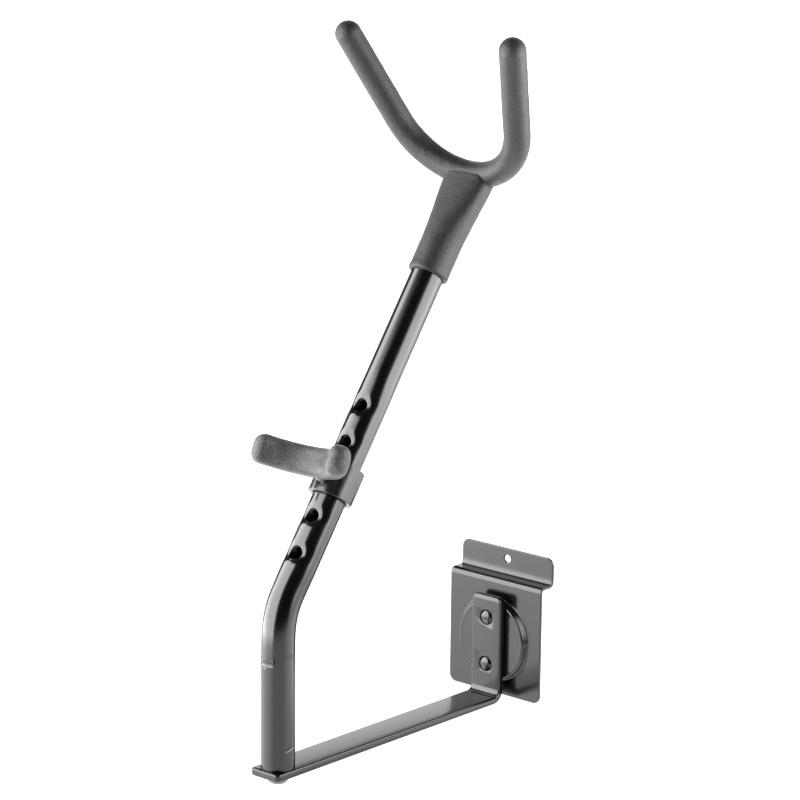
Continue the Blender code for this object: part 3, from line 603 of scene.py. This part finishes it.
def tube_point(t, psi):
    """Point of the tube's outer face; psi turns from the side facing the room towards +X."""
    c, out, s = tube_station(t)
    a, b, ex = flat_section(s, TUBE_R, FLAT_HALF_W, FLAT_HALF_T)
    k = ease((s - (HOLES_S[0] - 0.026)) / 0.018) * ease((HOLES_S[-1] + 0.026 - s) / 0.018)
    a, b = a * (1 + (OVAL - 1) * k), b * (1 - (OVAL - 1) * 0.6 * k)
    cs, sn = math.sin(psi), math.cos(psi)
    x = a * math.copysign(abs(cs) ** ex, cs)
    n = b * math.copysign(abs(sn) ** ex, sn)
    if n > 0:
        n *= 1 - wall_in(t) / TUBE_R
    if n > 0 and t > LV + LA:
        for h in HOLES_S:
            d = (s - h) / DISH_ALONG
            if abs(d) < 1:
                n -= DISH_DEPTH * (1 - d * d) ** 3 * math.exp(-0.5 * (x / DISH_ACROSS) ** 2)
    if t < 0.026:                                   # stake mark that holds the foot insert
        z = t + FOOT_Z - STAKE_Z
        ang = math.degrees(math.atan2(-n, x))       # 0 at +X, 90 towards the wall
        z -= 0.0010 * (ang - 1) / 21.0              # the mark slopes a little
        along = ease((23.0 - abs(ang - 1)) / 4.0)
        dent = -0.00055 * math.exp(-(z / 0.00045) ** 2) + 0.00016 * math.exp(-((z - 0.0011) / 0.0004) ** 2)
        kx = 1 + along * dent / TUBE_R
        x, n = x * kx, n * kx
    if abs(t + FOOT_Z - CLAMP_Z) < 0.006:           # bite of the bending clamp
        z = t + FOOT_Z - CLAMP_Z
        ang = math.degrees(math.atan2(-n, x))
        across = ease((38.0 - abs(ang + 98)) / 14.0)
        rough = lump((ang * 0.00035, z, 0.0), 0.0011, 5)
        step = -0.00038 * ease((z + 0.0004) / 0.0010) * ease((0.0042 - z) / 0.0034)
        dent = across * (step + 0.00017 * rough * math.exp(-((z - 0.0006) / 0.0022) ** 2) * ease((ang + 118) / 22.0) * ease((-64 - ang) / 12.0) * 2.2)
        kx = 1 + dent / TUBE_R
        x, n = x * kx, n * kx
    return c + XV * x + out * n


PATCH = 0.0080                                       # half size of the fine patch round each hole
PC = 24                                              # cells across a patch
psi0 = PATCH / TUBE_R
cols = [-psi0 + 2 * psi0 * k / PC for k in range(PC + 1)]
rest = 68
cols += [psi0 + (math.tau - 2 * psi0) * k / rest for k in range(1, rest)]
NC = len(cols)
rows = []                                            # (t, patch index or None)


def fill(t0, t1, step):
    n = max(1, round((t1 - t0) / step))
    return [t0 + (t1 - t0) * k / n for k in range(n)]


zs, zc = STAKE_Z - FOOT_Z, CLAMP_Z - FOOT_Z
marks = fill(0, zs - 0.003, 0.0015) + fill(zs - 0.003, zs + 0.003, 0.00022) + fill(zs + 0.003, zc - 0.004, 0.0025)
marks += fill(zc - 0.004, zc + 0.006, 0.00028) + fill(zc + 0.006, LV, 0.0016) + fill(LV, LV + LA, 0.0010)
t_prev = LV + LA
patch_rows = []
for h in HOLES_S:
    a, b = t_of(h) - PATCH, t_of(h) + PATCH
    marks += fill(t_prev, a, 0.0010)
    patch_rows.append(len(marks))
    marks += fill(a, b, 2 * PATCH / PC)
    t_prev = b
marks += fill(t_prev, t_of(FLAT_FROM_S), 0.0022) + fill(t_of(FLAT_FROM_S), t_of(TUBE_END_S), 0.0014) + [t_of(TUBE_END_S)]

verts, faces = [], []
for t in marks:
    verts += [tube_point(t, p) for p in cols]
skip = {(r0 + i, j) for r0 in patch_rows for i in range(PC) for j in range(PC)}
for i in range(len(marks) - 1):
    for j in range(NC):
        if (i, j) not in skip:
            k = (j + 1) % NC
            faces.append((i * NC + j, i * NC + k, (i + 1) * NC + k, (i + 1) * NC + j))
LIP = 0.00110
for h, r0 in zip(HOLES_S, patch_rows):
    th = t_of(h)
    loop = [(r0, j) for j in range(PC)] + [(r0 + i, PC) for i in range(PC)]
    loop += [(r0 + PC, j) for j in range(PC, 0, -1)] + [(r0 + i, 0) for i in range(PC, 0, -1)]
    ring = [i * NC + j for i, j in loop]
    flat = [(marks[i] - th, cols[j] * TUBE_R) for i, j in loop]
    polar = [math.atan2(w, d) for d, w in flat]
    re = HOLE_R + LIP
    edge_pts = None
    for k in range(1, 10):
        f = k / 9
        new = []
        for (d, w), a in zip(flat, polar):
            ds, ws = d + (re * math.cos(a) - d) * f, w + (re * math.sin(a) - w) * f
            # across, w runs on the surface; near the hole it becomes the true distance from the stem's axis
            x = TUBE_R * math.sin(w / TUBE_R) + (re * math.sin(a) - TUBE_R * math.sin(w / TUBE_R)) * f
            new.append(tube_point(th + ds, math.asin(max(-1, min(1, x / (TUBE_R * OVAL))))))
        base = len(verts)
        verts += new
        m = len(ring)
        for i in range(m):
            j = (i + 1) % m
            faces.append((ring[i], ring[j], base + j, base + i))
        ring = list(range(base, base + m))
        edge_pts = new
    axis0 = CORNER + U * h
    rel = [(p - axis0) for p in edge_pts]
    n_edge = [v.dot(N) for v in rel]
    n_mean = sum(n_edge) / len(n_edge)
    for k in range(1, 34):
        if k <= 7:                                   # lip rolls over into the hole
            a = math.radians(90 * k / 7)
            rad, dep, mix = HOLE_R + LIP * (1 - math.sin(a)), LIP * (1 - math.cos(a)), 1.0
            ridge = 0.0
        else:                                        # threaded neck drawn into the tube
            dep = LIP + 0.0044 * (k - 7) / 26
            rad, mix = HOLE_R, 1.0 - ease((k - 7) / 26)
            ridge = 1.0
        base = len(verts)
        for i, a in enumerate(polar):
            rr = rad
            if ridge:
                ph = ((dep - LIP) / 0.00125 - a / math.tau) % 1.0
                rr -= 0.00042 * (1 - abs(2 * ph - 1)) * ease((dep - LIP) / 0.0006)
            n = (n_edge[i] * mix + n_mean * (1 - mix)) - dep
            verts.append(axis0 + U * (rr * math.cos(a)) + XV * (rr * math.sin(a)) + N * n)
        m = len(ring)
        for i in range(m):
            j = (i + 1) % m
            faces.append((ring[i], ring[j], base + j, base + i))
        ring = list(range(base, base + m))
tube = temp("tube_skin", mesh_of("tube_skin", verts, faces))
sol = tube.modifiers.new("wall", "SOLIDIFY")
sol.thickness, sol.offset, sol.use_even_offset = TUBE_WALL, -1.0, False
tube = apply_all(tube)
welded(tube.data)
tube = piece("tube_skin", tube, GLOSS, "holder", ["upright_tube"], 55)

# ------------------------------------------------------------------ fork cover
FORK_C = CORNER + U * FORK_S + N * FORK_OUT
FV = Vector((0, math.cos(FORK_SLOPE), math.sin(FORK_SLOPE)))
FN = XV.cross(FV).normalized()


def fork_path(step=0.0007):
    """Points, tangents of the fork's centre line from one tip's centre to the other."""
    half = []
    n = round(FORK_ARC_R * (math.pi / 2 - FORK_FLARE) / step)
    for k in range(n + 1):
        a = -math.pi / 2 + (math.pi / 2 - FORK_FLARE) * k / n
        half.append((FORK_ARC_R * math.cos(a), FORK_ARC_R * (1 + math.sin(a)), -math.sin(a), math.cos(a)))
    ex, eh = half[-1][:2]
    arm = FORK_ARM + FORK_COVER_R - FORK_COVER_R
    m = round(arm / step)
    for k in range(1, m + 1):
        d = arm * k / m
        half.append((ex + d * math.sin(FORK_FLARE), eh + d * math.cos(FORK_FLARE), math.sin(FORK_FLARE), math.cos(FORK_FLARE)))
    return [(-x, h, tx, -th) for x, h, tx, th in half[:0:-1]] + half


def fork_rings(radius, seg=56, tips=True, grain=0.0, step=0.0007):
    path = fork_path(step)
    full = [(x, h, tx, th, 1.0, 0.0) for x, h, tx, th in path]
    if tips:
        a0, a1 = path[0], path[-1]
        dome = [(math.cos(math.radians(a)), math.sin(math.radians(a)) * radius) for a in
                (6, 12, 19, 26, 33, 40, 47, 54, 61, 68, 74, 80, 85, 88.5)]
        full = ([(a0[0] - a0[2] * d, a0[1] - a0[3] * d, a0[2], a0[3], w, 0) for w, d in dome[::-1]] + full
                + [(a1[0] + a1[2] * d, a1[1] + a1[3] * d, a1[2], a1[3], w, 0) for w, d in dome])
    rings = []
    for x, h, tx, th, w, _ in full:
        c = FORK_C + XV * x + FV * h
        side = XV * (-th) + FV * tx                   # in the fork's plane, square to its run
        ring = []
        for i in range(seg):
            a = math.tau * i / seg
            d = side * math.cos(a) + FN * math.sin(a)
            p = c + d * (radius * w)
            if grain:
                p += d * (grain * (0.55 * lump(p, 0.0065, 3) + 0.45 * lump(p, 0.0022, 9)) * min(1.0, w * 1.6))
            ring.append(p)
        rings.append(ring)
    return rings


cover = temp("fork_foam", skin("fork_foam", fork_rings(FORK_COVER_R + 0.00025, grain=0.00016)))
cover = piece("fork_foam", cover, FORK_FOAM, "holder", ["fork_cover"])

# ------------------------------------------------------------------ neck sleeve
rings = []
M = 72
steps = [0.0, 0.00015, 0.0004, 0.0008, 0.0014, 0.0022, 0.0032]
ss = [SLEEVE_FROM_S + d for d in steps] + [SLEEVE_FROM_S + 0.0032 + 0.0009 * k for k in range(1, 100) if SLEEVE_FROM_S + 0.0032 + 0.0009 * k < SLEEVE_TO_S - 0.0014]
ss += [SLEEVE_TO_S - 0.0011, SLEEVE_TO_S - 0.0006, SLEEVE_TO_S - 0.0002, SLEEVE_TO_S]
for s in ss:
    k = min(1.0, max(0.0, (s - FLAT_FROM_S) / (0.3125 - FLAT_FROM_S)))
    k = 0.5 * k + 0.5 * ease(k)
    a, b, ex = (SLEEVE_R + (SLEEVE_HALF_W - SLEEVE_R) * k, SLEEVE_R + (SLEEVE_HALF_T - SLEEVE_R) * k, 1.0 - 0.35 * k)
    d = s - SLEEVE_FROM_S
    lip = -0.0011 * (1 - math.sqrt(max(0.0, 1 - (1 - min(1.0, d / 0.0014)) ** 2)))   # rolled lower lip
    lip += 0.00018 * math.exp(-((d - 0.0026) / 0.0016) ** 2)
    top = SLEEVE_TO_S - s
    lip -= 0.0005 * (1 - math.sqrt(max(0.0, 1 - (1 - min(1.0, top / 0.0007)) ** 2)))
    ring = []
    for i in range(M):
        an = math.tau * (i + 0.5) / M
        cs, sn = math.cos(an), math.sin(an)
        x = (a + lip) * math.copysign(abs(cs) ** ex, cs)
        n = (b + lip) * math.copysign(abs(sn) ** ex, sn)
        p = CORNER + U * s + N * n + XV * x
        dirn = (N * n + XV * x).normalized()
        p += dirn * (0.00010 * lump(p, 0.0065, 4) + 0.00007 * lump(p, 0.0022, 8))
        ring.append(p)
    rings.append(ring)
sleeve = temp("neck_foam", skin("neck_foam", rings))
tube_rings = []
for s in [0.232 + 0.003 * k for k in range(28)] + [0.3178]:
    a, b, ex = flat_section(s, TUBE_R, FLAT_HALF_W, FLAT_HALF_T, 0.0003)
    tube_rings.append([CORNER + U * s + XV * (a * math.copysign(abs(math.cos(an)) ** ex, math.cos(an)))
                       + N * (b * math.copysign(abs(math.sin(an)) ** ex, math.sin(an)))
                       for an in (math.tau * (i + 0.25) / 64 for i in range(64))])
cut1 = temp("cut1", skin("cut1", tube_rings))
cut2 = temp("cut2", skin("cut2", fork_rings(FORK_COVER_R + 0.0005, seg=64, tips=False, step=0.0013)))
boolean(sleeve, cut1)
boolean(sleeve, cut2)
sleeve = apply_all(sleeve)
drop(cut1, cut2)
welded(sleeve.data)
sleeve = piece("neck_foam", sleeve, NECK_FOAM, "holder", ["neck_sleeve"], 50)

# ------------------------------------------------------------------ height collar
h0, h1, f = COLLAR_UP - COLLAR_LEN / 2, COLLAR_UP + COLLAR_LEN / 2, 0.0005
mid = (h0 + h1) / 2 + 0.0006
prof = [(COLLAR_BORE_R, h0 + 0.0004), (COLLAR_BORE_R + 0.0004, h0), (COLLAR_R - f, h0)]
prof += [(COLLAR_R - f + f * math.sin(a), h0 + f - f * math.cos(a)) for a in (math.radians(90 * k / 5) for k in range(1, 6))]
prof += [(COLLAR_R, h0 + f + 0.00012), (COLLAR_R, mid - 0.0035), (COLLAR_R, mid - 0.00042), (COLLAR_R, mid - 0.00028), (COLLAR_R + 0.00005, mid - 0.00010), (COLLAR_R + 0.00005, mid + 0.00010),
         (COLLAR_R, mid + 0.00028), (COLLAR_R, mid + 0.00042), (COLLAR_R, mid + 0.0035), (COLLAR_R, h1 - f - 0.00012)]
prof += [(COLLAR_R - f + f * math.cos(a), h1 - f + f * math.sin(a)) for a in (math.radians(90 * k / 5) for k in range(6))]
prof += [(COLLAR_BORE_R + 0.0004, h1), (COLLAR_BORE_R, h1 - 0.0004)]
collar = temp("collar_ring", lathe("collar_ring", prof, 128, frame_matrix(HOME, XV, -N, U)))
cut = temp("cut", lathe("cut", [(0, 0.03), (STEM_R + 0.0003, 0.03), (STEM_R + 0.0003, 0.005), (0, 0.005)], 48, frame_matrix(HOME, XV, -U, N)))
boolean(collar, cut)
collar = apply_all(collar)
drop(cut)
welded(collar.data)
collar = piece("collar_ring", collar, COLLAR, "carriage", ["height_collar"], 40)

# ------------------------------------------------------------------ lower prong
PM = frame_matrix(HOME, XV, -U, N) @ Matrix.Rotation(-PRONG_TURN, 4, "Z")


def pad_rings(half_h, half_t, ang, square, seg=64, steps=120, grain=0.00012):
    marks = [(-ang + 2 * ang * k / steps, 1.0, 0.0) for k in range(steps + 1)]
    tip = [(math.sin(a) * half_t * 0.95, math.cos(a)) for a in (math.radians(v) for v in (6, 13, 20, 28, 36, 44, 52, 60, 68, 75, 81, 86, 89))]
    marks = [(-ang, w, -d) for d, w in tip[::-1]] + marks + [(ang, w, d) for d, w in tip]
    rows = []
    for a, w, d in marks:
        cx = PRONG_R * math.sin(a) + d * math.cos(a)
        cn = PRONG_R * (1 - math.cos(a)) + abs(d) * math.sin(abs(a))
        ring = []
        for i in range(seg):
            an = math.tau * (i + 0.5) / seg
            cs, sn = math.cos(an), math.sin(an)
            pu = (half_h - half_t * (1 - w)) * math.copysign(abs(cs) ** square, cs)
            pt = half_t * w * math.copysign(abs(sn) ** square, sn)
            q0 = Vector((a * PRONG_R + d, pu, pt))
            g = 1 + grain / half_t * (0.5 * lump(q0, 0.0060, 11) + 0.5 * lump(q0, 0.0021, 13)) * min(1, w * 1.5)
            pt *= g
            out = cn + math.cos(a) * pt
            up = pu * math.cos(PRONG_DIP) - out * math.sin(PRONG_DIP)
            out = out * math.cos(PRONG_DIP) + pu * math.sin(PRONG_DIP)
            ring.append(PM @ Vector((cx - math.sin(a) * pt, -PRONG_UP - up, PRONG_OUT + out)))
        rows.append(ring)
    return rows


pad = temp("prong_foam", skin("prong_foam", pad_rings(PAD_HALF_H, PAD_HALF_T, PRONG_HALF_ANGLE, 0.72)))
cut = temp("cut", lathe("cut", [(0, PRONG_OUT), (STEM_R + 0.0003, PRONG_OUT), (STEM_R + 0.0003, 0.006), (0, 0.006)], 48, PM))
boolean(pad, cut)
pad = apply_all(pad)
drop(cut)
welded(pad.data)
pad = piece("prong_foam", pad, PAD_FOAM, "prong", ["prong_pad"], 60)

# ------------------------------------------------------------------ finishes on the CAD nodes that stay
for node, mat in (("foot_insert", ZINC), ("foot_lock_washer", BLACK_STEEL), ("foot_screw", BLACK_STEEL), ("fork_rod", BARE),
                  ("prong_core", BARE), ("prong_stem", ZINC)):
    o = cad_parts[node]
    o.data.materials.clear()
    o.data.materials.append(mat)

# ------------------------------------------------------------------ stage, light and camera
FLOOR_Z = -0.42


def emitter(name, colour, strength):
    m = bpy.data.materials.new(name)
    m.use_nodes = True
    b = m.node_tree.nodes["Principled BSDF"]
    b.inputs["Base Color"].default_value = (*colour, 1)
    b.inputs["Roughness"].default_value = 0.9
    b.inputs["Emission Color"].default_value = (*colour, 1)
    b.inputs["Emission Strength"].default_value = strength
    return m


floor = temp("studio_floor", lathe("studio_floor", [(0.95, FLOOR_Z), (0, FLOOR_Z)], 96, closed=False))
floor.data.materials.append(emitter("studio_floor_white", (0.95, 0.955, 0.96), 0.95))
dome = temp("studio_dome", lathe("studio_dome", [(14 * math.sin(math.radians(a)), 14 * math.cos(math.radians(a))) for a in range(0, 181, 6)], 64, closed=False))
dome.data.materials.append(emitter("studio_dome_white", (0.98, 0.98, 0.98), 1.1))
for flag in ("visible_diffuse", "visible_glossy", "visible_transmission", "visible_volume_scatter", "visible_shadow"):
    setattr(dome, flag, False)                       # a plain white backdrop from every side; the light comes from the world

# a pale room, brightest low at the left and right, with a dark ceiling
world = bpy.data.worlds.new("studio")
bpy.context.scene.world = world
world.use_nodes = True
nt = world.node_tree
bg = nt.nodes["Background"]
co = nt.nodes.new("ShaderNodeTexCoord").outputs["Generated"]


def toward(azimuth, a, b, c, d):
    """Smooth rise from c to d as the direction comes within reach of an azimuth (cosines a to b)."""
    dot = nt.nodes.new("ShaderNodeVectorMath")
    dot.operation = "DOT_PRODUCT"
    dot.inputs[1].default_value = (math.sin(math.radians(azimuth)), math.cos(math.radians(azimuth)), 0)
    nt.links.new(co, dot.inputs[0])
    return smooth(dot.outputs["Value"], a, b, c, d)


def smooth(value, a, b, c, d):
    r = nt.nodes.new("ShaderNodeMapRange")
    r.interpolation_type = "SMOOTHSTEP"
    for n, v in (("From Min", a), ("From Max", b), ("To Min", c), ("To Max", d)):
        r.inputs[n].default_value = v
    nt.links.new(value, r.inputs["Value"])
    return r.outputs["Result"]


sep = nt.nodes.new("ShaderNodeSeparateXYZ")
nt.links.new(co, sep.inputs[0])
level = maths(nt, "ADD", toward(-134, 0.45, 1.0, 1.95, 3.9), toward(34, 0.30, 0.95, 0.0, 1.6))
level = maths(nt, "SUBTRACT", level, toward(-8, 0.80, 1.0, 0.0, 2.4))
height = maths(nt, "SUBTRACT", sep.outputs["Z"], toward(-35, 0.75, 0.95, 0.0, 0.60))
level = maths(nt, "ADD", maths(nt, "MULTIPLY", level, smooth(height, -0.26, -0.06, 1.0, 0.0)), 0.03)

# two soft glows higher up, behind the bar and to the right of the wall
behind = maths(nt, "MULTIPLY", toward(-42, 0.90, 1.0, 0.0, 0.12), smooth(sep.outputs["Z"], 0.05, 0.20, 0.0, 1.0))
beside = maths(nt, "MULTIPLY", toward(12, 0.80, 0.98, 0.0, 1.7), smooth(sep.outputs["Z"], -0.12, 0.02, 0.0, 1.0))
beside = maths(nt, "MULTIPLY", beside, smooth(sep.outputs["Z"], 0.35, 0.60, 1.0, 0.0))
level = maths(nt, "ADD", level, maths(nt, "ADD", behind, beside))
nt.links.new(level, bg.inputs["Strength"])
bg.inputs["Color"].default_value = (1, 1, 1, 1)


def softbox(name, centre, w, h, radiance, target=(0, -0.15, 0.12)):
    """Rectangular area light of a given radiance, facing the holder."""
    t, p = Vector(target), Vector(centre)
    li = bpy.data.lights.new(name, "AREA")
    li.shape, li.size, li.size_y, li.energy = "RECTANGLE", w, h, math.pi * w * h * radiance
    o = bpy.data.objects.new(name, li)
    bpy.context.scene.collection.objects.link(o)
    o.location = p
    o.rotation_euler = (t - p).to_track_quat("-Z", "Y").to_euler()
    o.visible_camera = False
    return o


def around(azimuth, reach, height):
    a = math.radians(azimuth)
    return (math.sin(a) * reach, -0.15 + math.cos(a) * reach, height)


# the left softbox: two tall panels side by side, each of three nested sheets so that the edges fade
for k, (grow, rad) in enumerate(((0.03, 3.4), (-0.01, 3.4), (-0.05, 3.2))):
    for n, (az0, az1, low, top) in enumerate(((-96, -143, -0.20, 1.12), (-143, -185, -0.165, 1.14))):
        low, top = low + 0.025 * k, top - 0.09 * k
        reach, mid_z = 0.80 + 0.01 * k, (low + top) / 2
        w = 2 * reach * math.tan(math.radians(abs(az1 - az0) / 2)) + grow
        softbox("left_softbox_%d_%d" % (n, k), around((az0 + az1) / 2, reach, mid_z), w, top - low, rad, (0, -0.15, mid_z))
# the right softbox fades out downwards
for k, (low, top, az0, az1, rad) in enumerate(((-0.05, 0.72, 92, 20, 2.0), (-0.01, 0.69, 91, 24, 1.9), (0.04, 0.65, 89, 28, 1.6),
                                               (0.08, 0.60, 87, 32, 1.9), (0.13, 0.52, 86, 35, 1.4), (0.18, 0.44, 84, 38, 0.8))):
    reach, mid_z = 0.50 + 0.004 * k, (low + top) / 2
    w = 2 * reach * math.tan(math.radians((az0 - az1) / 2))
    softbox("right_softbox_%d" % k, around((az0 + az1) / 2, reach, mid_z), w, top - low, rad, (0, -0.15, mid_z))

cam_data = bpy.data.cameras.new("camera")
cam = bpy.data.objects.new("camera", cam_data)
bpy.context.scene.collection.objects.link(cam)
cam_data.sensor_width = 36.0
cam_data.lens = 2986.0326 * 36.0 / 800.0
cam_data.clip_start, cam_data.clip_end = 0.05, 100.0
az, elv, roll, dist = math.radians(-41.57548), math.radians(12.98449), math.radians(0.62090), 1.9469147
target = Vector((-0.0105969, -0.0900864, 0.1443030))
F = Vector((math.sin(az) * math.cos(elv), math.cos(az) * math.cos(elv), -math.sin(elv)))
right = F.cross(Vector((0, 0, 1))).normalized()
up = right.cross(F)
rr = right * math.cos(roll) + up * math.sin(roll)
ur = -right * math.sin(roll) + up * math.cos(roll)
cam.matrix_world = frame_matrix(target - F * dist, rr, ur, -F)
bpy.context.scene.camera = cam
bpy.context.scene.view_settings.view_transform = "Standard"
